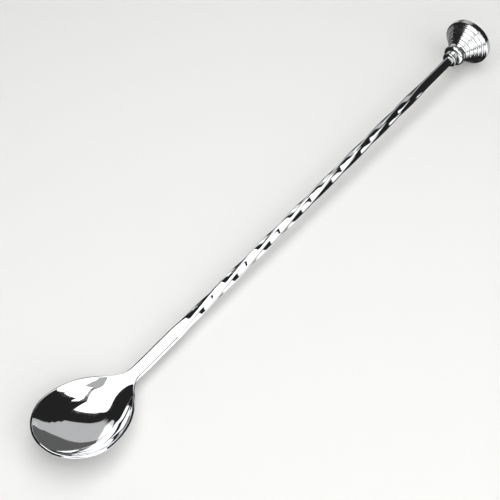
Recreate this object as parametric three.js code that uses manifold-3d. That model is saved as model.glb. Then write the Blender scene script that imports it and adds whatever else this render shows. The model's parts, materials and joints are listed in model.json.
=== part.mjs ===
// A bar spoon: a long mixing spoon with an egg-shaped bowl, a twisted square shank and a turned
// muddler head on its far end. Millimetres, +Z up. The spoon lies on a surface at z = 0, on the
// keel of its bowl and the rim of its head, with the bowl towards -X and the head towards +X.
//
// Each piece is drawn in the shank's own frame: the shank's axis is X, and the bowl opens to +Z.
// The last section lays the whole spoon down on its two resting points.

import * as THREE from 'three';
import { mergeVertices } from 'three/addons/utils/BufferGeometryUtils.js';
import Module from 'manifold-3d';

const wasm = await Module();
wasm.setup();

// ---------------------------------------------------------------- driving dimensions

const overallLength = 280;
const fitGap = 0.3; // clearance kept between two pieces that touch

// bowl: the outline of its inner rim, seen from above
const bowlTipX = -overallLength / 2 + 1.1; // the cut edge of the sheet stands out beyond it
const bowlWidestX = -122.6;
const bowlHalfWidth = 16.2;
const neckStartX = -91.5;
const tipHandle = 10.6;
const widestHandleToTip = 6.5;
const widestHandleToNeck = 19.4;
const neckHandle = 9.6;

// bowl: its rim line and hollow, seen from the side
const rimSlope = 0.22; // how fast the rim climbs from the neck to the tip
const rimBendX = -98;
const rimBendLength = 2;
const hollowDepth = 7.2;
const hollowEndX = -95.5;
const hollowDeepestX = -111.5;
const hollowTipPower = 2.5; // flattens the floor and steepens the climb to the tip
const hollowFullness = 0.5; // the same across the bowl
const sheetThickness = 1.12;
const rimCorner = 0.25;

// neck: a flat strip between the bowl and the twist
const neckWidth = 4.9;
const neckThickness = 2.9;
const neckCorner = 0.75;
const thickenStartX = -101;
const thickenEndX = -86;
const weldX = -70; // the bowl's neck ends here and the shank starts

// shank: a square bar, twisted left-handed
const barSide = 3.8;
const barCorner = 1.0;
const squaringEndX = -60; // the flattened start has become square here
const twistStartX = -61;
const twistEndX = 100.3;
const quarterTurnPitch = 20.95;
const twistEaseLength = 10; // the twist sets in and dies out over this length
const shankEndX = 122.4;
const tenonRadius = 1.65;
const tenonEndX = 135.2;

// collar and head: turned pieces on the shank's tenon
const boreRadius = tenonRadius + fitGap;
const collarStartX = shankEndX + fitGap;
const noseRadius = 3.5;
const noseLength = 1.5;
const collarWaistRadius = 3.15;
const beadRadius = 5.05;
const beadCentreX = 126.7;
const beadHalfLength = 1.5;
const collarEndX = 128.3;
const headStartX = collarEndX + fitGap;
const headNeckRadius = 4.3;
const coneStartX = 129.4;
const coneEndX = 136.7;
const coneEndRadius = 10.4;
const rimRadius = 11.15;
const rimStartX = 137.4;
const rimRounding = 0.6;
const headEndX = overallLength / 2;

// fineness of the faceting
const roundSegments = 48;
const cornerSegments = 2;
const shankStep = 2.6;
const bowlWidthSegments = 14;

// ---------------------------------------------------------------- materials

const polishedSteel = new THREE.MeshStandardMaterial({ color: 0xc9ccd0, metalness: 1, roughness: 0.06 });
const turnedSteel = new THREE.MeshStandardMaterial({ color: 0xbfc2c6, metalness: 1, roughness: 0.16 });

// ---------------------------------------------------------------- small helpers

function smoothStep(low, high, value) {
  return THREE.MathUtils.smoothstep(value, low, high);
}

// Rises like a ramp of slope 1 from zero, with its foot rounded over the given length.
function softRamp(value, roundingLength) {
  return roundingLength * Math.log1p(Math.exp(value / roundingLength));
}

function weld(geometry) {
  const bare = geometry.index ? geometry : geometry.clone();
  bare.deleteAttribute('normal');
  bare.deleteAttribute('uv');
  return mergeVertices(bare, 1e-4);
}

function toSolid(geometry) {
  const welded = weld(geometry);
  const mesh = new wasm.Mesh({
    numProp: 3,
    vertProperties: new Float32Array(welded.attributes.position.array),
    triVerts: new Uint32Array(welded.index.array),
  });
  return new wasm.Manifold(mesh);
}

function fromSolid(solid) {
  const mesh = solid.getMesh();
  const geometry = new THREE.BufferGeometry();
  geometry.setAttribute('position', new THREE.BufferAttribute(new Float32Array(mesh.vertProperties), 3));
  geometry.setIndex(new THREE.BufferAttribute(new Uint32Array(mesh.triVerts), 1));
  return geometry;
}

// Extrudes a section in equal steps, then lets `place` move every vertex. `place` is given the
// vertex's two section coordinates and the number of its step.
function loft(section, steps, place) {
  const geometry = new THREE.ExtrudeGeometry(section, { depth: steps, steps, bevelEnabled: false });
  const position = geometry.attributes.position;
  for (let i = 0; i < position.count; i += 1) {
    const point = place(position.getX(i), position.getY(i), Math.round(position.getZ(i)));
    position.setXYZ(i, point.x, point.y, point.z);
  }
  return weld(geometry);
}

// Turns a profile of [position along X, radius] points about the X axis.
function turned(profile) {
  const points = profile.map(([along, radius]) => new THREE.Vector2(radius, along));
  const geometry = new THREE.LatheGeometry(points, roundSegments);
  geometry.rotateZ(-Math.PI / 2);
  return geometry;
}

// Points of an arc about [centreX, centreRadius] in a profile, from one angle to another (degrees).
function arc(centreX, centreRadius, lengthwise, radial, fromAngle, toAngle, segments) {
  const points = [];
  for (let i = 0; i <= segments; i += 1) {
    const angle = THREE.MathUtils.degToRad(fromAngle + ((toAngle - fromAngle) * i) / segments);
    points.push([centreX + lengthwise * Math.cos(angle), centreRadius + radial * Math.sin(angle)]);
  }
  return points;
}

// ---------------------------------------------------------------- bowl

const tipPoint = new THREE.Vector2(bowlTipX, 0);
const widestPoint = new THREE.Vector2(bowlWidestX, bowlHalfWidth);
const neckPoint = new THREE.Vector2(neckStartX, neckWidth / 2);
const weldPoint = new THREE.Vector2(weldX, neckWidth / 2);

const tipCurve = new THREE.CubicBezierCurve(
  tipPoint,
  new THREE.Vector2(bowlTipX, tipHandle),
  new THREE.Vector2(bowlWidestX - widestHandleToTip, bowlHalfWidth),
  widestPoint,
);
const shoulderCurve = new THREE.CubicBezierCurve(
  widestPoint,
  new THREE.Vector2(bowlWidestX + widestHandleToNeck, bowlHalfWidth),
  new THREE.Vector2(neckStartX - neckHandle, neckWidth / 2),
  neckPoint,
);
const neckLine = new THREE.LineCurve(neckPoint, weldPoint);

// The half width of the bowl's outline at x, found by halving along the curve that spans it.
function halfWidth(x) {
  if (x >= neckStartX) {
    return neckWidth / 2;
  }
  const curve = x < bowlWidestX ? tipCurve : shoulderCurve;
  let low = 0;
  let high = 1;
  for (let i = 0; i < 40; i += 1) {
    const middle = (low + high) / 2;
    if (curve.getPoint(middle).x < x) {
      low = middle;
    } else {
      high = middle;
    }
  }
  return curve.getPoint(low).y;
}

function rimHeight(x) {
  return neckThickness / 2 + rimSlope * softRamp(rimBendX - x, rimBendLength);
}

// The hollow's share of its full depth along the bowl: an even S from the neck down to the
// deepest point, and from there an ever steeper climb to the tip.
function lengthwiseHollow(x) {
  const fromNeck = 1 - smoothStep(hollowDeepestX, hollowEndX, x);
  const towardsTip = THREE.MathUtils.clamp((hollowDeepestX - x) / (hollowDeepestX - bowlTipX), 0, 1);
  return fromNeck * (1 - towardsTip ** hollowTipPower);
}

function bowlTop(x, y) {
  const across = Math.min(Math.abs(y) / Math.max(halfWidth(x), 1e-3), 1.2) ** 2;
  return rimHeight(x) - hollowDepth * lengthwiseHollow(x) * (1 - across) * (1 + hollowFullness * across);
}

function bowlNormal(x, y) {
  const step = 0.01;
  const alongSlope = (bowlTop(x + step, y) - bowlTop(x, y)) / step;
  const acrossSlope = (bowlTop(x, y + step) - bowlTop(x, y - step)) / (2 * step);
  return new THREE.Vector3(-alongSlope, -acrossSlope, 1).normalize();
}

function bowlThickness(x) {
  return THREE.MathUtils.lerp(sheetThickness, neckThickness, smoothStep(thickenStartX, thickenEndX, x));
}

function bowlCorner(x) {
  return THREE.MathUtils.lerp(rimCorner, neckCorner, smoothStep(thickenStartX, thickenEndX, x));
}

// Flat eight-cornered section: its broad faces are cut into strips, and the corners at
// +-edgeMark carry the two edges of the cut rim.
const edgeMark = 2;

function bowlSection() {
  const shape = new THREE.Shape();
  shape.moveTo(-1, -1);
  for (let i = 1; i <= bowlWidthSegments; i += 1) {
    shape.lineTo(-1 + (2 * i) / bowlWidthSegments, -1);
  }
  shape.lineTo(edgeMark, -0.5);
  shape.lineTo(edgeMark, 0.5);
  for (let i = 0; i <= bowlWidthSegments; i += 1) {
    shape.lineTo(1 - (2 * i) / bowlWidthSegments, 1);
  }
  shape.lineTo(-edgeMark, 0.5);
  shape.lineTo(-edgeMark, -0.5);
  return shape;
}

function bowlStations() {
  const tipPoints = tipCurve.getPoints(16).slice(1);
  const shoulderPoints = shoulderCurve.getPoints(20).slice(1);
  const neckPoints = neckLine.getPoints(4).slice(1);
  return [tipCurve.getPoint(0.03), ...tipPoints, ...shoulderPoints, ...neckPoints];
}

function bowlGeometry() {
  const stations = bowlStations();
  return loft(bowlSection(), stations.length - 1, (across, through, step) => {
    const station = stations[step];
    const corner = Math.min(bowlCorner(station.x), station.y / 2);
    const thickness = bowlThickness(station.x);
    const onEdge = Math.abs(across) > 1.5;
    const y = onEdge ? Math.sign(across) * station.y : across * (station.y - corner);
    const depth = through > 0 ? (onEdge ? corner : 0) : thickness - (onEdge ? corner : 0);
    const surface = new THREE.Vector3(station.x, y, bowlTop(station.x, y));
    return surface.addScaledVector(bowlNormal(station.x, y), -depth);
  });
}

// ---------------------------------------------------------------- shank

const barReach = barSide / 2;
const barFlat = barReach - barCorner; // half of a face's flat part

function barSection() {
  const shape = new THREE.Shape();
  shape.moveTo(barReach, -barFlat);
  shape.lineTo(barReach, barFlat);
  shape.absarc(barFlat, barFlat, barCorner, 0, Math.PI / 2, false);
  shape.lineTo(-barFlat, barReach);
  shape.absarc(-barFlat, barFlat, barCorner, Math.PI / 2, Math.PI, false);
  shape.lineTo(-barReach, -barFlat);
  shape.absarc(-barFlat, -barFlat, barCorner, Math.PI, 1.5 * Math.PI, false);
  shape.lineTo(barFlat, -barReach);
  shape.absarc(barFlat, -barFlat, barCorner, 1.5 * Math.PI, 2 * Math.PI, false);
  return new THREE.Shape(shape.getPoints(cornerSegments));
}

// Reshapes a point of the square section to a rounded rectangle of other half sizes and corner.
function reshapeSection(across, through, halfWide, halfThick, corner) {
  const coreAcross = THREE.MathUtils.clamp(across, -barFlat, barFlat);
  const coreThrough = THREE.MathUtils.clamp(through, -barFlat, barFlat);
  const cornerScale = corner / barCorner;
  return [
    (coreAcross * (halfWide - corner)) / barFlat + (across - coreAcross) * cornerScale,
    (coreThrough * (halfThick - corner)) / barFlat + (through - coreThrough) * cornerScale,
  ];
}

// The bar's turn about X: zero at the neck, growing evenly between two eased ends. A positive
// angle carries +Z towards +Y, so the ridges wind left-handed.
function twistAngle(x) {
  const ease = twistEaseLength / 8;
  const twistedLength = softRamp(x - twistStartX, ease) - softRamp(x - twistEndX, ease);
  return (twistedLength / quarterTurnPitch) * (Math.PI / 2);
}

function shankGeometry() {
  const startX = weldX + fitGap;
  const steps = Math.round((shankEndX - startX) / shankStep);
  const bar = loft(barSection(), steps, (across, through, step) => {
    const x = THREE.MathUtils.lerp(startX, shankEndX, step / steps);
    const squareness = smoothStep(weldX, squaringEndX, x);
    const halfWide = THREE.MathUtils.lerp(neckWidth / 2, barReach, squareness);
    const halfThick = THREE.MathUtils.lerp(neckThickness / 2, barReach, squareness);
    const corner = THREE.MathUtils.lerp(neckCorner, barCorner, squareness);
    const [y, z] = reshapeSection(across, through, halfWide, halfThick, corner);
    const angle = twistAngle(x);
    return new THREE.Vector3(
      x,
      y * Math.cos(angle) + z * Math.sin(angle),
      z * Math.cos(angle) - y * Math.sin(angle),
    );
  });
  const tenonStartX = shankEndX - 2;
  const tenon = new THREE.CylinderGeometry(tenonRadius, tenonRadius, tenonEndX - tenonStartX, 24);
  tenon.rotateZ(-Math.PI / 2);
  tenon.translate((tenonStartX + tenonEndX) / 2, 0, 0);
  return fromSolid(toSolid(bar).add(toSolid(tenon)));
}

// ---------------------------------------------------------------- collar

function collarGeometry() {
  const noseCentreX = collarStartX + noseLength / 2;
  const noseDip = noseRadius - collarWaistRadius;
  const profile = [
    [collarStartX, boreRadius],
    [collarStartX, collarWaistRadius],
    ...arc(noseCentreX, collarWaistRadius, noseLength / 2, noseDip, 150, 0, 4),
    ...arc(beadCentreX, collarWaistRadius, beadHalfLength, beadRadius - collarWaistRadius, 170, 20, 7),
    [collarEndX, collarWaistRadius + 0.4],
    [collarEndX, boreRadius],
    [collarStartX, boreRadius],
  ];
  return turned(profile);
}

// ---------------------------------------------------------------- muddler head

function headGeometry() {
  const boreEndX = tenonEndX + fitGap;
  const profile = [
    [boreEndX, 0],
    [boreEndX, boreRadius],
    [headStartX, boreRadius],
    [headStartX, headNeckRadius],
    [coneStartX, headNeckRadius + 0.1],
    [coneEndX, coneEndRadius],
    [coneEndX + 0.25, coneEndRadius + 0.1],
    [rimStartX, rimRadius],
    ...arc(headEndX - rimRounding, rimRadius - rimRounding, rimRounding, rimRounding, 90, 0, 4),
    [headEndX, 0],
  ];
  return turned(profile);
}

// ---------------------------------------------------------------- the whole spoon, laid down

function piece(name, geometry, material) {
  geometry.computeVertexNormals();
  const mesh = new THREE.Mesh(geometry, material);
  mesh.name = name;
  return mesh;
}

const assembly = new THREE.Group();
assembly.add(piece('bowl', bowlGeometry(), polishedSteel));
assembly.add(piece('twisted_shank', shankGeometry(), polishedSteel));
assembly.add(piece('collar', collarGeometry(), turnedSteel));
assembly.add(piece('muddler_head', headGeometry(), turnedSteel));

// The lowest height of one half of the spoon when it is pitched up towards +X by `pitch`.
function lowestHeight(side, pitch) {
  let lowest = Infinity;
  const point = new THREE.Vector3();
  for (const mesh of assembly.children) {
    const position = mesh.geometry.attributes.position;
    for (let i = 0; i < position.count; i += 1) {
      point.fromBufferAttribute(position, i);
      if (Math.sign(point.x) === side) {
        lowest = Math.min(lowest, point.x * Math.sin(pitch) + point.z * Math.cos(pitch));
      }
    }
  }
  return lowest;
}

// Pitches the spoon until the bowl's keel and the head's rim are at one height.
let pitch = 0;
for (let i = 0; i < 12; i += 1) {
  const drop = lowestHeight(-1, pitch) - lowestHeight(1, pitch);
  pitch += drop / (headEndX - bowlWidestX);
}
assembly.rotation.y = -pitch;

const bounds = new THREE.Box3().setFromObject(assembly, true);
assembly.position.set(-(bounds.min.x + bounds.max.x) / 2, 0, -bounds.min.z);

const barSpoon = new THREE.Group();
barSpoon.add(assembly);

export default barSpoon;
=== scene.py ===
import json
import math

import bmesh
import bpy
import numpy as np
from mathutils import Matrix, Quaternion, Vector


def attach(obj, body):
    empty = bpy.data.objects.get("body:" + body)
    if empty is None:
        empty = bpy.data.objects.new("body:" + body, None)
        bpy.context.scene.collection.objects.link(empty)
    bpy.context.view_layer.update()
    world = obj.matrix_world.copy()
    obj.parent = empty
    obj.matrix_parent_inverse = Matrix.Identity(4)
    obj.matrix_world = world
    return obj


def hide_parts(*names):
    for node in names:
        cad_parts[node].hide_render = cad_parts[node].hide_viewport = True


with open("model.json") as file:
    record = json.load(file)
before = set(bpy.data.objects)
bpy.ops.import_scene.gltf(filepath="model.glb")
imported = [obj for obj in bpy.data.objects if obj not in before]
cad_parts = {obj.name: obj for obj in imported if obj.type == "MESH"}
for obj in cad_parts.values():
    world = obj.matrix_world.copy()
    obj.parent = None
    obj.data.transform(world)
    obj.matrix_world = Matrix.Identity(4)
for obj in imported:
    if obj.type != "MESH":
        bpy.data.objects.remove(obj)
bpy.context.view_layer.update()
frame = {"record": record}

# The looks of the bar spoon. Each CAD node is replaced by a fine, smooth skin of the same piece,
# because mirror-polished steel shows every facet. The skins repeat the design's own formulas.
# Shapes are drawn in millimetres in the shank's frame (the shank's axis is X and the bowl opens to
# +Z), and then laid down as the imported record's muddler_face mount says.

MM = 0.001

# ---------------------------------------------------------------- driving dimensions, millimetres

HEAD_END_X = 140.0

# bowl
BOWL_TIP_X = -138.9
BOWL_WIDEST_X = -122.6
BOWL_HALF_WIDTH = 16.2
NECK_START_X = -91.5
TIP_HANDLE = 10.6
WIDEST_HANDLE_TO_TIP = 6.5
WIDEST_HANDLE_TO_NECK = 19.4
NECK_HANDLE = 9.6
RIM_SLOPE = 0.22
RIM_BEND_X = -98.0
RIM_BEND_LENGTH = 2.0
HOLLOW_DEPTH = 7.2
HOLLOW_END_X = -95.5
HOLLOW_DEEPEST_X = -111.5
HOLLOW_TIP_POWER = 2.5
HOLLOW_FULLNESS = 0.5
SHEET_THICKNESS = 1.03
RIM_CORNER = 0.25
ACROSS_LIMIT = 1.2        # how far out the hollow's formula is used, as a share of the half width
NARROWEST = 1e-3          # keeps the formula defined at the tip, where the width is nil

# neck
NECK_WIDTH = 4.9
NECK_THICKNESS = 2.9
NECK_CORNER = 0.75
THICKEN_START_X = -101.0
THICKEN_END_X = -86.0
WELD_X = -70.0

# shank
BAR_SIDE = 3.8
BAR_CORNER = 1.0
SQUARING_END_X = -60.0
TWIST_START_X = -61.0
TWIST_END_X = 100.3
QUARTER_TURN_PITCH = 20.95
TWIST_EASE = 1.25
SHANK_END_X = 122.4
TENON_RADIUS = 1.65
TENON_END_X = 135.2

# collar and head
SEAT_GAP = 0.02
BORE_RADIUS = 1.7
NOSE_RADIUS = 3.5
NOSE_LENGTH = 1.5
COLLAR_WAIST_RADIUS = 3.15
BEAD_RADIUS = 5.03
BEAD_CENTRE_X = 126.7
BEAD_HALF_LENGTH = 1.5
COLLAR_END_X = 128.3
COLLAR_END_STEP = 0.4
HEAD_START_X = 128.6
HEAD_NECK_RADIUS = 4.3
BORE_CLEARANCE = 0.3
CONE_FOOT_STEP = 0.1
CONE_START_X = 129.4
CONE_END_X = 136.7
CONE_END_RADIUS = 10.4
RIM_FOOT_LENGTH = 0.25
RIM_FOOT_STEP = 0.1
RIM_RADIUS = 11.13
RIM_START_X = 137.4
RIM_ROUNDING = 0.6
CONE_RING_PITCH = 0.9
CONE_RING_DEPTH = 0.10
SHALLOWEST_RING = 0.25    # as a share of the full ring depth
STEPS_PER_RING = 8
FACE_MARGIN = 0.1
FACE_RING_PITCH = 0.35
FACE_RING_DEPTH = 0.006


# how finely the skins are divided
TIP_STEPS = 70
SHOULDER_STEPS = 120
NECK_STEPS = 60
BOWL_COLUMNS = 80
CORNER_STEPS = 6
BAR_STEP = 0.35
TURNED_SEGMENTS = 256
WELD_DISTANCE = 2e-7      # metres


# ---------------------------------------------------------------- laying the spoon down

def laid_down():
    """The matrix from the shank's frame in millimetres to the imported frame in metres."""
    mount = next(m for m in frame["record"]["mounts"] if m["name"] == "muddler_face")
    along = Vector(mount["axis"]).normalized()
    across = Vector((0, 1, 0))
    up = along.cross(across)
    turn = Matrix((along, across, up)).transposed().to_4x4()
    face = Matrix.Translation(Vector(mount["pos_m"]))
    return face @ turn @ Matrix.Scale(MM, 4) @ Matrix.Translation((-HEAD_END_X, 0, 0))


LAID_DOWN = laid_down()


# ---------------------------------------------------------------- helpers

def soft_ramp(value, rounding):
    """Rises like a ramp of slope 1 from zero, with its foot rounded over the given length."""
    return rounding * np.logaddexp(0, value / rounding)


def smooth_step(low, high, value):
    share = np.clip((value - low) / (high - low), 0, 1)
    return share * share * (3 - 2 * share)


def mix(a, b, share):
    return a + (b - a) * share


def quarter_arc(steps):
    """Angles of a quarter turn, both ends included."""
    return np.linspace(0, math.pi / 2, steps + 1)


def skin(name, rings, cap_start, cap_end, smooth_angle=40):
    """A smooth closed mesh through rings of points, all with the same count, one after another."""
    rings = np.asarray(rings, float)
    count, size = rings.shape[:2]
    points = rings.reshape(-1, 3)
    faces = []
    for i in range(count - 1):
        for j in range(size):
            k = (j + 1) % size
            faces.append((i * size + j, i * size + k, (i + 1) * size + k, (i + 1) * size + j))
    if cap_start:
        faces.append(tuple(range(size - 1, -1, -1)))
    if cap_end:
        faces.append(tuple(range((count - 1) * size, count * size)))
    mesh = bpy.data.meshes.new(name)
    mesh.from_pydata([tuple(p) for p in points], [], faces)
    mesh.transform(LAID_DOWN)
    weld_doubles(mesh)
    mesh.set_sharp_from_angle(angle=math.radians(smooth_angle))
    piece = bpy.data.objects.new(name, mesh)
    bpy.context.scene.collection.objects.link(piece)
    return piece


def weld_doubles(mesh):
    """Joins points that coincide and makes every face look outwards."""
    work = bmesh.new()
    work.from_mesh(mesh)
    bmesh.ops.remove_doubles(work, verts=work.verts, dist=WELD_DISTANCE)
    bmesh.ops.recalc_face_normals(work, faces=work.faces)
    for face in work.faces:
        face.smooth = True
    work.to_mesh(mesh)
    work.free()


# ---------------------------------------------------------------- bowl

def bezier(points, t):
    a, b, c, d = (np.asarray(p, float) for p in points)
    t = np.asarray(t, float)[:, None]
    return (1 - t) ** 3 * a + 3 * (1 - t) ** 2 * t * b + 3 * (1 - t) * t * t * c + t**3 * d


TIP_CURVE = (
    (BOWL_TIP_X, 0),
    (BOWL_TIP_X, TIP_HANDLE),
    (BOWL_WIDEST_X - WIDEST_HANDLE_TO_TIP, BOWL_HALF_WIDTH),
    (BOWL_WIDEST_X, BOWL_HALF_WIDTH),
)
SHOULDER_CURVE = (
    (BOWL_WIDEST_X, BOWL_HALF_WIDTH),
    (BOWL_WIDEST_X + WIDEST_HANDLE_TO_NECK, BOWL_HALF_WIDTH),
    (NECK_START_X - NECK_HANDLE, NECK_WIDTH / 2),
    (NECK_START_X, NECK_WIDTH / 2),
)


def outline(tip_steps, shoulder_steps, neck_steps):
    """Points (x, half width) of the bowl's inner rim line, from its tip to the weld."""
    tip = bezier(TIP_CURVE, np.linspace(0, 1, tip_steps + 1))
    shoulder = bezier(SHOULDER_CURVE, np.linspace(0, 1, shoulder_steps + 1))[1:]
    neck_x = np.linspace(NECK_START_X, WELD_X, neck_steps + 1)[1:]
    neck = np.column_stack([neck_x, np.full(neck_steps, NECK_WIDTH / 2)])
    return np.concatenate([tip, shoulder, neck])


FINE_OUTLINE = outline(4000, 4000, 4)


def half_width(x):
    return np.interp(x, FINE_OUTLINE[:, 0], FINE_OUTLINE[:, 1])


def rim_height(x):
    """Level along the neck, then a steady climb to the tip."""
    return NECK_THICKNESS / 2 + RIM_SLOPE * soft_ramp(RIM_BEND_X - x, RIM_BEND_LENGTH)


def lengthwise_hollow(x):
    """The hollow's share of its full depth: an S from the neck down, then a climb to the tip."""
    from_neck = 1 - smooth_step(HOLLOW_DEEPEST_X, HOLLOW_END_X, x)
    towards_tip = np.clip((HOLLOW_DEEPEST_X - x) / (HOLLOW_DEEPEST_X - BOWL_TIP_X), 0, 1)
    return from_neck * (1 - towards_tip**HOLLOW_TIP_POWER)


def bowl_top(x, y):
    """The height of the bowl's upper face: the rim's height less the hollow."""
    across = np.minimum(np.abs(y) / np.maximum(half_width(x), NARROWEST), ACROSS_LIMIT) ** 2
    hollow = HOLLOW_DEPTH * lengthwise_hollow(x) * (1 - across) * (1 + HOLLOW_FULLNESS * across)
    return rim_height(x) - hollow


def bowl_point(x, y, depth):
    """The point that lies at a depth under the bowl's upper face, measured square to that face."""
    step = 0.02
    along_slope = (bowl_top(x + step, y) - bowl_top(x, y)) / step
    across_slope = (bowl_top(x, y + step) - bowl_top(x, y - step)) / (2 * step)
    normal = np.stack([-along_slope, -across_slope, np.ones_like(along_slope)], -1)
    normal /= np.linalg.norm(normal, axis=-1, keepdims=True)
    surface = np.stack([x, y, bowl_top(x, y)], -1)
    return surface - normal * np.asarray(depth)[..., None]


def edge_profile(corner, thickness, steps):
    """(inset from the outline, depth) round the cut edge, from the upper face to the lower one."""
    turn = quarter_arc(steps)
    upper = np.column_stack([corner * (1 - np.sin(turn)), corner * (1 - np.cos(turn))])
    lower = np.column_stack([upper[::-1, 0], thickness - upper[::-1, 1]])
    return np.concatenate([upper, lower])


def bowl_rings(columns=BOWL_COLUMNS):
    """One ring of points per station of the outline: upper face, one edge, lower face, other edge."""
    stations = outline(TIP_STEPS, SHOULDER_STEPS, NECK_STEPS)
    tangent = np.gradient(stations, axis=0)
    tangent[0] = (0, 1)
    tangent /= np.linalg.norm(tangent, axis=1, keepdims=True)
    outward = np.column_stack([-tangent[:, 1], tangent[:, 0]])
    stretch = np.linspace(-1, 1, columns + 1)
    rings = []
    for (x, half), (out_x, out_y) in zip(stations, outward):
        thick = smooth_step(THICKEN_START_X, THICKEN_END_X, x)
        thickness = mix(SHEET_THICKNESS, NECK_THICKNESS, thick)
        corner = mix(RIM_CORNER, NECK_CORNER, thick)
        edge_x = x - out_x * corner
        edge_y = half - out_y * corner if half > 0 else 0.0
        row_x = np.full(columns + 1, edge_x)
        row_y = stretch * max(edge_y, 0.0)
        upper = bowl_point(row_x, row_y, np.zeros(columns + 1))
        lower = bowl_point(row_x, row_y, np.full(columns + 1, thickness))
        profile = edge_profile(corner, thickness, CORNER_STEPS)[1:-1]
        side_x = x - out_x * profile[:, 0]
        side_y = np.maximum(half - out_y * profile[:, 0], 0)
        left = bowl_point(side_x, side_y, profile[:, 1])
        right = left * (1, -1, 1)
        rings.append(np.concatenate([upper, left, lower[::-1], right[::-1]]))
    return rings


# ---------------------------------------------------------------- shank

def bar_section(half_y, half_z, corner, corner_steps=10, flat_steps=8):
    """Points round a bar's section with rounded corners, anticlockwise from its +Y side."""
    points = []
    flat_y = half_y - corner
    flat_z = half_z - corner
    signs = ((1, 1), (-1, 1), (-1, -1), (1, -1))
    for index, (sign_y, sign_z) in enumerate(signs):
        start = index * math.pi / 2
        for turn in quarter_arc(corner_steps):
            angle = start + turn
            points.append((
                sign_y * flat_y + corner * math.cos(angle),
                sign_z * flat_z + corner * math.sin(angle),
            ))
        next_y, next_z = signs[(index + 1) % 4]
        end = start + math.pi / 2
        target = (
            next_y * flat_y + corner * math.cos(end),
            next_z * flat_z + corner * math.sin(end),
        )
        origin = points[-1]
        for k in range(1, flat_steps):
            share = k / flat_steps
            points.append((mix(origin[0], target[0], share), mix(origin[1], target[1], share)))
    return np.array(points)


def twist_angle(x):
    """Zero at the neck; a positive angle carries +Z towards +Y, so the ridges wind left-handed."""
    twisted = soft_ramp(x - TWIST_START_X, TWIST_EASE) - soft_ramp(x - TWIST_END_X, TWIST_EASE)
    return twisted / QUARTER_TURN_PITCH * math.pi / 2


def turned_section(x, section):
    """The bar's section at x, turned about the axis by the twist there."""
    angle = twist_angle(x)
    y = section[:, 0] * np.cos(angle) + section[:, 1] * np.sin(angle)
    z = section[:, 1] * np.cos(angle) - section[:, 0] * np.sin(angle)
    return np.column_stack([np.full(len(section), x), y, z])


def shank_rings():
    """Sections along the bar, which turn with the twist, and then the round tenon."""
    rings = []
    count = round((SHANK_END_X - WELD_X) / BAR_STEP)
    for x in np.linspace(WELD_X, SHANK_END_X, count + 1):
        square = smooth_step(WELD_X, SQUARING_END_X, x)
        half_y = mix(NECK_WIDTH, BAR_SIDE, square) / 2
        half_z = mix(NECK_THICKNESS, BAR_SIDE, square) / 2
        corner = mix(NECK_CORNER, BAR_CORNER, square)
        rings.append(turned_section(x, bar_section(half_y, half_z, corner)))
    shoulder = rings[-1]
    radius = np.linalg.norm(shoulder[:, 1:], axis=1, keepdims=True)
    tenon = shoulder.copy()
    tenon[:, 1:] *= TENON_RADIUS / radius
    rings.append(tenon)
    rings.append(tenon + (TENON_END_X - SHANK_END_X, 0, 0))
    return rings


# ---------------------------------------------------------------- collar and head

def arc(centre_x, centre_radius, lengthwise, radial, start, end, steps):
    """Points (x, radius) of an arc in a turned profile, from one angle to another in degrees."""
    turn = np.radians(np.linspace(start, end, steps + 1))
    return np.column_stack([
        centre_x + lengthwise * np.cos(turn),
        centre_radius + radial * np.sin(turn),
    ])


def turned(name, profile, segments=TURNED_SEGMENTS):
    """Turns a profile of (x, radius) points, which closes on itself, about the X axis."""
    profile = np.asarray(profile, float)
    angles = np.linspace(0, 2 * math.pi, segments, endpoint=False)
    loops = [
        np.column_stack([
            np.full(segments, x),
            radius * np.cos(angles),
            radius * np.sin(angles),
        ])
        for x, radius in profile
    ]
    return skin(name, loops, False, False)


def collar_profile():
    start = SHANK_END_X + SEAT_GAP
    nose_centre = start + NOSE_LENGTH / 2
    nose_dip = NOSE_RADIUS - COLLAR_WAIST_RADIUS
    bead_dip = BEAD_RADIUS - COLLAR_WAIST_RADIUS
    return [
        (start, BORE_RADIUS),
        (start, COLLAR_WAIST_RADIUS),
        *arc(nose_centre, COLLAR_WAIST_RADIUS, NOSE_LENGTH / 2, nose_dip, 150, 0, 24),
        *arc(BEAD_CENTRE_X, COLLAR_WAIST_RADIUS, BEAD_HALF_LENGTH, bead_dip, 170, 20, 48),
        (COLLAR_END_X, COLLAR_WAIST_RADIUS + COLLAR_END_STEP),
        (COLLAR_END_X, BORE_RADIUS),
        (start, BORE_RADIUS),
    ]


def ringed_line(start, end, pitch, depth, seed):
    """A straight stretch of a profile with the shallow grooves, each its own depth, of a tool."""
    start = np.array(start)
    end = np.array(end)
    along = end - start
    length = np.linalg.norm(along)
    count = max(1, round(length / pitch))
    depths = depth * np.random.default_rng(seed).uniform(SHALLOWEST_RING, 1.0, count)
    share = np.linspace(0, 1, count * STEPS_PER_RING + 1)
    groove = np.minimum((share * count).astype(int), count - 1)
    hollow = depths[groove] * np.abs(np.sin(share * count * math.pi))
    normal = np.array([-along[1], along[0]]) / length
    return start + share[:, None] * along - hollow[:, None] * normal


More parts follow.
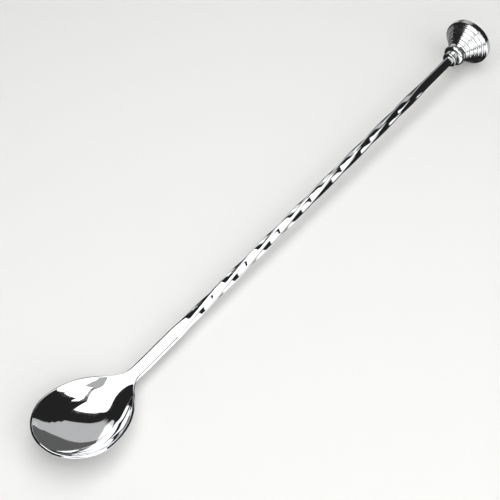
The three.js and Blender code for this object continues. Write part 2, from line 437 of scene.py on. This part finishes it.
def head_profile():
    bore_end = TENON_END_X + BORE_CLEARANCE
    rim_x = HEAD_END_X - RIM_ROUNDING
    rim_radius = RIM_RADIUS - RIM_ROUNDING
    cone_start = (CONE_START_X, HEAD_NECK_RADIUS + CONE_FOOT_STEP)
    cone_end = (CONE_END_X, CONE_END_RADIUS)
    face_edge = (HEAD_END_X, rim_radius - FACE_MARGIN)
    face_middle = (HEAD_END_X, 0.0)
    return [
        (bore_end, 0.0),
        (bore_end, BORE_RADIUS),
        (HEAD_START_X, BORE_RADIUS),
        (HEAD_START_X, HEAD_NECK_RADIUS),
        *ringed_line(cone_start, cone_end, CONE_RING_PITCH, CONE_RING_DEPTH, seed=4),
        (CONE_END_X + RIM_FOOT_LENGTH, CONE_END_RADIUS + RIM_FOOT_STEP),
        (RIM_START_X, RIM_RADIUS),
        *arc(rim_x, rim_radius, RIM_ROUNDING, RIM_ROUNDING, 90, 0, 12),
        *ringed_line(face_edge, face_middle, FACE_RING_PITCH, FACE_RING_DEPTH, seed=9),
    ]


# ---------------------------------------------------------------- materials

class Painter:
    """Adds shader nodes to one material and wires them together."""

    def __init__(self, name):
        self.material = bpy.data.materials.new(name)
        self.material.use_nodes = True
        self.tree = self.material.node_tree
        self.shader = self.tree.nodes["Principled BSDF"]
        self.shader.inputs["Metallic"].default_value = 1.0

    def add(self, kind, **settings):
        node = self.tree.nodes.new(kind)
        for key, value in settings.items():
            setattr(node, key, value)
        return node

    def put(self, socket, value):
        """Links an output to a socket, or sets the socket to a constant."""
        if isinstance(value, bpy.types.NodeSocket):
            self.tree.links.new(value, socket)
        else:
            socket.default_value = value

    def shank_millimetres(self):
        """Coordinates in the shank's own frame, in millimetres."""
        place = self.add("ShaderNodeTexCoord")
        location, rotation, scale = LAID_DOWN.inverted().decompose()
        mapping = self.add("ShaderNodeMapping")
        self.put(mapping.inputs["Vector"], place.outputs["Object"])
        self.put(mapping.inputs["Location"], location)
        self.put(mapping.inputs["Rotation"], rotation.to_euler())
        self.put(mapping.inputs["Scale"], scale)
        return mapping.outputs["Vector"]

    def stretched(self, vector, per_mm):
        """The coordinates multiplied by a number of features per millimetre in each direction."""
        node = self.add("ShaderNodeVectorMath", operation="MULTIPLY")
        self.put(node.inputs[0], vector)
        self.put(node.inputs[1], per_mm)
        return node.outputs["Vector"]

    def noise(self, vector, detail=2.0, roughness=0.5, distortion=0.0):
        node = self.add("ShaderNodeTexNoise")
        self.put(node.inputs["Vector"], vector)
        self.put(node.inputs["Scale"], 1.0)
        self.put(node.inputs["Detail"], detail)
        self.put(node.inputs["Roughness"], roughness)
        self.put(node.inputs["Distortion"], distortion)
        return node.outputs["Fac"]

    def math(self, operation, a, b=0.0):
        node = self.add("ShaderNodeMath", operation=operation)
        self.put(node.inputs[0], a)
        self.put(node.inputs[1], b)
        return node.outputs["Value"]

    def between(self, value, low, high, out_low, out_high):
        """Carries a value from one range smoothly and clamped to another."""
        node = self.add("ShaderNodeMapRange", interpolation_type="SMOOTHSTEP")
        for socket, number in zip(list(node.inputs)[:5], (value, low, high, out_low, out_high)):
            self.put(socket, number)
        return node.outputs["Result"]

    def tint(self, factor, dark, light):
        ramp = self.add("ShaderNodeValToRGB")
        ramp.color_ramp.elements[0].color = (*dark, 1)
        ramp.color_ramp.elements[1].color = (*light, 1)
        self.put(ramp.inputs["Fac"], factor)
        self.put(self.shader.inputs["Base Color"], ramp.outputs["Color"])

    def bump(self, height, distance, below=None):
        """Relief whose height of 0 to 1 spans a distance in metres, laid over another relief."""
        node = self.add("ShaderNodeBump")
        self.put(node.inputs["Height"], height)
        self.put(node.inputs["Strength"], 1.0)
        self.put(node.inputs["Distance"], distance)
        if below is not None:
            self.put(node.inputs["Normal"], below)
        return node.outputs["Normal"]


# depths of relief, metres
POLISH_WAVES = 9e-6
BUFFING_MARKS = 2.5e-7
SCRATCHES = -5e-7
COARSE_RINGS = 5e-5
FINE_RINGS = 7e-6
CONE_LINE_STRETCH = 1.3   # lengthwise share of a ring's position, so that rings keep apart on the cone


def polished_steel():
    """Mirror-polished steel: a slightly wavy mirror with lengthwise buffing marks and smudges."""
    paint = Painter("polished_steel")
    place = paint.shank_millimetres()
    waves = paint.noise(paint.stretched(place, (0.16, 0.3, 0.3)), detail=1.0)
    buffing = paint.noise(paint.stretched(place, (0.5, 9.0, 9.0)), detail=3.0, roughness=0.6)
    smudges = paint.noise(paint.stretched(place, (0.09, 0.14, 0.14)), detail=3.0, distortion=0.6)
    hairlines = paint.noise(paint.stretched(place, (0.12, 16.0, 16.0)), detail=1.0, distortion=0.4)
    scratch = paint.between(hairlines, 0.66, 0.74, 0.0, 1.0)
    clean = paint.between(buffing, 0.3, 0.75, 0.02, 0.05)
    smudged = paint.between(smudges, 0.5, 0.75, 0.0, 0.04)
    scratched = paint.between(scratch, 0.0, 1.0, 0.0, 0.05)
    roughness = paint.math("ADD", paint.math("ADD", clean, smudged), scratched)
    paint.put(paint.shader.inputs["Roughness"], roughness)
    paint.tint(smudges, (0.76, 0.77, 0.785), (0.82, 0.825, 0.83))
    relief = paint.bump(waves, POLISH_WAVES)
    relief = paint.bump(buffing, BUFFING_MARKS, relief)
    relief = paint.bump(scratch, SCRATCHES, relief)
    paint.put(paint.shader.inputs["Normal"], relief)
    return paint.material


def turned_steel():
    """Turned steel: rings of uneven depth and gloss that run round the axis, broken here and there."""
    paint = Painter("turned_steel")
    place = paint.shank_millimetres()
    parts = paint.add("ShaderNodeSeparateXYZ")
    paint.put(parts.inputs["Vector"], place)
    y_squared = paint.math("MULTIPLY", parts.outputs["Y"], parts.outputs["Y"])
    z_squared = paint.math("MULTIPLY", parts.outputs["Z"], parts.outputs["Z"])
    radius = paint.math("SQRT", paint.math("ADD", y_squared, z_squared))
    lengthwise = paint.math("MULTIPLY", parts.outputs["X"], CONE_LINE_STRETCH)
    ring_line = paint.math("ADD", lengthwise, radius)
    turn = paint.math("ARCTAN2", parts.outputs["Y"], parts.outputs["Z"])
    unrolled = paint.add("ShaderNodeCombineXYZ")
    paint.put(unrolled.inputs["X"], ring_line)
    paint.put(unrolled.inputs["Y"], paint.math("SINE", turn))
    paint.put(unrolled.inputs["Z"], paint.math("COSINE", turn))
    around = unrolled.outputs["Vector"]
    coarse = paint.noise(paint.stretched(around, (1.5, 0.9, 0.9)), detail=2.0, roughness=0.6)
    fine = paint.noise(paint.stretched(around, (7.0, 1.6, 1.6)), detail=3.0, roughness=0.7)
    grime = paint.noise(paint.stretched(place, (0.3, 0.3, 0.3)), detail=3.0)
    gloss = paint.between(fine, 0.25, 0.8, 0.07, 0.24)
    dull = paint.between(grime, 0.45, 0.75, 0.0, 0.06)
    paint.put(paint.shader.inputs["Roughness"], paint.math("ADD", gloss, dull))
    paint.tint(coarse, (0.66, 0.67, 0.68), (0.81, 0.815, 0.82))
    relief = paint.bump(coarse, COARSE_RINGS)
    relief = paint.bump(fine, FINE_RINGS, relief)
    paint.put(paint.shader.inputs["Normal"], relief)
    return paint.material


# ---------------------------------------------------------------- pieces

def finish_piece(piece, node, material):
    """Gives a skin its material and puts it in the place of its CAD node."""
    piece.data.materials.append(material)
    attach(piece, "root")
    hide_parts(node)


POLISHED = polished_steel()
TURNED = turned_steel()

bowl = skin("spoon_bowl", bowl_rings(), cap_start=False, cap_end=True)
finish_piece(bowl, "bowl", POLISHED)

shank = skin("twisted_bar", shank_rings(), cap_start=True, cap_end=True)
finish_piece(shank, "twisted_shank", POLISHED)

collar = turned("turned_collar", collar_profile())
finish_piece(collar, "collar", TURNED)

head = turned("ringed_muddler", head_profile())
finish_piece(head, "muddler_head", TURNED)


# ---------------------------------------------------------------- studio

FLOOR_FLAT_RADIUS = 1.6
FLOOR_COVE_RADIUS = 0.8
FLOOR_COVE_STEPS = 16
FLOOR_WALL_HEIGHT = 2.4
FLOOR_SEGMENTS = 96
FLOOR_COLOUR = (0.8, 0.8, 0.79, 1)
FLOOR_ROUGHNESS = 0.9


def floor_material():
    material = bpy.data.materials.new("pale_floor")
    material.use_nodes = True
    shader = material.node_tree.nodes["Principled BSDF"]
    shader.inputs["Base Color"].default_value = FLOOR_COLOUR
    shader.inputs["Roughness"].default_value = FLOOR_ROUGHNESS
    return material


def floor_profile():
    """Points (radius, height) of the floor's section, from its middle to the top of its wall."""
    profile = [(0.0, 0.0), (FLOOR_FLAT_RADIUS, 0.0)]
    for angle in quarter_arc(FLOOR_COVE_STEPS)[1:]:
        profile.append((
            FLOOR_FLAT_RADIUS + FLOOR_COVE_RADIUS * math.sin(angle),
            FLOOR_COVE_RADIUS * (1 - math.cos(angle)),
        ))
    profile.append((FLOOR_FLAT_RADIUS + FLOOR_COVE_RADIUS, FLOOR_WALL_HEIGHT))
    return profile


def make_floor():
    """A pale floor that curves up into a wall all round; the steel's mirror doesn't show it."""
    profile = floor_profile()
    segments = FLOOR_SEGMENTS
    points = [(0.0, 0.0, 0.0)]
    for radius, height in profile[1:]:
        for k in range(segments):
            angle = 2 * math.pi * k / segments
            points.append((radius * math.cos(angle), radius * math.sin(angle), height))
    faces = [(0, 1 + k, 1 + (k + 1) % segments) for k in range(segments)]
    for ring in range(len(profile) - 2):
        low = 1 + ring * segments
        high = low + segments
        for k in range(segments):
            after = (k + 1) % segments
            faces.append((low + k, high + k, high + after, low + after))
    mesh = bpy.data.meshes.new("studio_floor")
    mesh.from_pydata(points, [], faces)
    mesh.polygons.foreach_set("use_smooth", [True] * len(mesh.polygons))
    mesh.materials.append(floor_material())
    floor = bpy.data.objects.new("studio_floor", mesh)
    bpy.context.scene.collection.objects.link(floor)
    floor.visible_glossy = False
    return floor


def soft_light(name, centre, shines, across, width, height, radiance):
    """A rectangular soft light: its centre, where it shines, its width's direction, its radiance."""
    back = -Vector(shines).normalized()
    across = Vector(across).normalized()
    upright = back.cross(across)
    turn = Matrix((across, upright, back)).transposed().to_4x4()
    data = bpy.data.lights.new(name, "AREA")
    data.shape = "RECTANGLE"
    data.size = width
    data.size_y = height
    data.energy = radiance * math.pi * width * height
    light = bpy.data.objects.new(name, data)
    light.matrix_world = Matrix.Translation(centre) @ turn
    light.visible_camera = False
    bpy.context.scene.collection.objects.link(light)
    return light


UP = Vector((0, 0, 1))
BOWL_SPOT = Vector((-0.115, 0, 0))   # the point in the bowl that the panels are placed from


def directions(azimuth):
    """The level directions away along an azimuth, counted from +Y towards +X, and to its right."""
    angle = math.radians(azimuth)
    away = Vector((math.sin(angle), math.cos(angle), 0))
    right = Vector((math.cos(angle), -math.sin(angle), 0))
    return away, right


def level_panel(name, azimuth, left, right, near, far, height, radiance, shines=-1):
    """A level panel whose edges are given as distances from the bowl; it shines down or up."""
    away, side = directions(azimuth)
    centre = BOWL_SPOT + side * (left + right) / 2 + away * (near + far) / 2 + UP * height
    return soft_light(name, centre, UP * shines, side, right - left, far - near, radiance)


def upright_panel(name, azimuth, distance, left, right, low, high, radiance):
    """An upright panel at a distance along an azimuth, which shines back at the bowl."""
    away, side = directions(azimuth)
    centre = BOWL_SPOT + away * distance + side * (left + right) / 2 + UP * (low + high) / 2
    return soft_light(name, centre, -away, side, right - left, high - low, radiance)


def light_only(piece, lights):
    """Lets the lights shine on one piece alone."""
    receivers = bpy.data.collections.new(f"lights_only_{piece.name}")
    receivers.objects.link(piece)
    for light in lights:
        light.light_linking.receiver_collection = receivers


def make_world(radiance):
    world = bpy.data.worlds.new("studio")
    world.use_nodes = True
    background = world.node_tree.nodes["Background"]
    background.inputs["Color"].default_value = (1, 1, 1, 1)
    background.inputs["Strength"].default_value = radiance
    bpy.context.scene.world = world


# radiance of the panels; the steel returns about 0.8 of it
OVERHEAD = 2.0
CAMERA_PATCH = 0.5
ARM_NEAR = 0.5
ARM_FAR = 0.16
SIDE = 1.5
FAR = 0.55
LOW_FAR = 0.11
LOW_WALL = 0.10
EDGE_STRIP = 0.8
LOW_NEAR = 1.5
UNDER_HEAD = 0.6
BACKDROP = 2.2
AMBIENT = 0.02

PANEL_HEIGHT = 0.5
GAP_HEIGHT = 0.51         # the dim panels in the ceiling's gap hang just above it
ARM_AZIMUTH = 66


def light_overhead():
    """A white ceiling, in which a camera and its slanting arm leave a dimmer gap."""
    top = PANEL_HEIGHT
    gap = GAP_HEIGHT
    level_panel("overhead_far", 0, -0.36, 0.46, -0.03, 0.29, top, OVERHEAD)
    level_panel("overhead_left_of_arm", ARM_AZIMUTH, -0.12, 0.213, -0.37, 0.38, top, OVERHEAD)
    level_panel("overhead_right_of_arm", ARM_AZIMUTH, 0.325, 0.44, -0.34, 0.22, top, OVERHEAD)
    level_panel("overhead_near_right", -10, -0.10, 0.245, -1.0, -0.34, top, OVERHEAD)
    level_panel("overhead_near_left", 0, -0.30, 0.06, -1.0, -0.45, top, OVERHEAD)
    level_panel("overhead_behind_camera", 0, -1.0, -0.60, -1.0, -0.30, top, OVERHEAD)
    level_panel("camera_patch", 0, -0.62, -0.29, -1.0, -0.20, gap, CAMERA_PATCH)
    level_panel("arm_near", ARM_AZIMUTH, 0.20, 0.34, -0.36, -0.02, gap, ARM_NEAR)
    level_panel("arm_far", ARM_AZIMUTH, 0.20, 0.34, -0.02, 0.24, gap, ARM_FAR)


def light_the_shank():
    """Two panels that only the shank shows."""
    light_only(shank, [
        level_panel("shank_overhead", 60, 0.165, 0.45, -0.20, 0.40, PANEL_HEIGHT, OVERHEAD),
        upright_panel("shank_side", 148.6, 0.60, -0.20, 0.09, 0.02, PANEL_HEIGHT, SIDE),
    ])


def light_the_head():
    """A panel that stands in for the pale floor in the head's front face and rim."""
    light_only(head, [
        level_panel("pale_under_head", 90, -0.80, 0.80, 0.29, 1.60, -0.06, UNDER_HEAD, shines=1),
    ])


BACKDROP_COUNT = 6
BACKDROP_DISTANCE = 1.0
BACKDROP_HEIGHT = 1.1
BACKDROP_WIDTH = 1.2
BACKDROP_TILT = 0.5


def backdrop_panel(name, azimuth):
    """A panel that faces outwards and a little down, at the floor's curved edge."""
    away, side = directions(azimuth)
    centre = away * BACKDROP_DISTANCE + UP * BACKDROP_HEIGHT
    shines = away - UP * BACKDROP_TILT
    return soft_light(name, centre, shines, side, BACKDROP_WIDTH, BACKDROP_WIDTH / 2, BACKDROP)


def light_the_backdrop(floor):
    """Panels all round that only the floor shows, to keep it pale towards its edge."""
    azimuths = range(0, 360, 360 // BACKDROP_COUNT)
    light_only(floor, [backdrop_panel(f"backdrop_{azimuth}", azimuth) for azimuth in azimuths])


FAR_WALL_AZIMUTH = 62
FAR_WALL_DISTANCE = 0.70
FAR_WALL_SIDE = (-0.48, -0.20, 0.18, 0.31, 0.51, 0.61)
FAR_WALL_TOP = (0.16, 0.49, 0.48, 0.30, 0.18, 0.02)
FAR_WALL_FOOT = (0.11, 0.15, 0.15, 0.10, -0.06, -0.08)
FAR_WALL_STRIPS = 24


def light_far_wall():
    """The dimmer wall opposite the camera: upright strips that follow its slanting outline."""
    edges = np.linspace(FAR_WALL_SIDE[0], FAR_WALL_SIDE[-1], FAR_WALL_STRIPS + 1)
    for k, (left, right) in enumerate(zip(edges[:-1], edges[1:])):
        middle = (left + right) / 2
        foot = float(np.interp(middle, FAR_WALL_SIDE, FAR_WALL_FOOT))
        top = float(np.interp(middle, FAR_WALL_SIDE, FAR_WALL_TOP))
        upright_panel(
            f"far_wall_{k}", FAR_WALL_AZIMUTH, FAR_WALL_DISTANCE, left, right, foot, top, FAR
        )


def light_round_about():
    """A white wall to the right of the camera and weak light from low down."""
    upright_panel("right_wall", 180, 1.0, -0.40, 1.10, 0.02, PANEL_HEIGHT, SIDE)
    upright_panel("low_far_wall", 45, 0.75, -0.23, 0.90, -0.15, 0.17, LOW_FAR)
    upright_panel("low_near_wall", 225, 0.80, -0.60, 0.60, -0.60, 0.02, LOW_WALL)
    upright_panel("edge_strip", 35, 1.60, -0.14, 0.14, -0.30, 0.75, EDGE_STRIP)
    level_panel("low_near", 90, 0.015, 0.60, -0.40, 0.20, -0.10, LOW_NEAR, shines=1)


# ---------------------------------------------------------------- camera

CAMERA_AZIMUTH = 308.72
CAMERA_ELEVATION = 51.02
CAMERA_ROLL = -0.167
CAMERA_DISTANCE = 0.5067
CAMERA_AIM = Vector((-0.01984, 0.00266, 0.00724))
CAMERA_LENS = 90          # millimetres
CAMERA_SENSOR = 36        # millimetres
CAMERA_CLIP_START = 0.05


def make_camera():
    """Looks down at the whole spoon from beside its bowl end."""
    azimuth = math.radians(CAMERA_AZIMUTH)
    elevation = math.radians(CAMERA_ELEVATION)
    back = Vector((
        math.sin(azimuth) * math.cos(elevation),
        -math.cos(azimuth) * math.cos(elevation),
        math.sin(elevation),
    ))
    data = bpy.data.cameras.new("camera")
    data.lens = CAMERA_LENS
    data.sensor_width = CAMERA_SENSOR
    data.clip_start = CAMERA_CLIP_START
    camera = bpy.data.objects.new("camera", data)
    camera.location = CAMERA_AIM + back * CAMERA_DISTANCE
    camera.rotation_mode = "QUATERNION"
    roll = Quaternion(-back, math.radians(CAMERA_ROLL))
    camera.rotation_quaternion = roll @ (-back).to_track_quat("-Z", "Y")
    bpy.context.scene.collection.objects.link(camera)
    bpy.context.scene.camera = camera


floor = make_floor()
make_world(AMBIENT)
light_overhead()
light_the_shank()
light_the_head()
light_the_backdrop(floor)
light_far_wall()
light_round_about()
make_camera()
bpy.context.scene.view_settings.view_transform = "Standard"
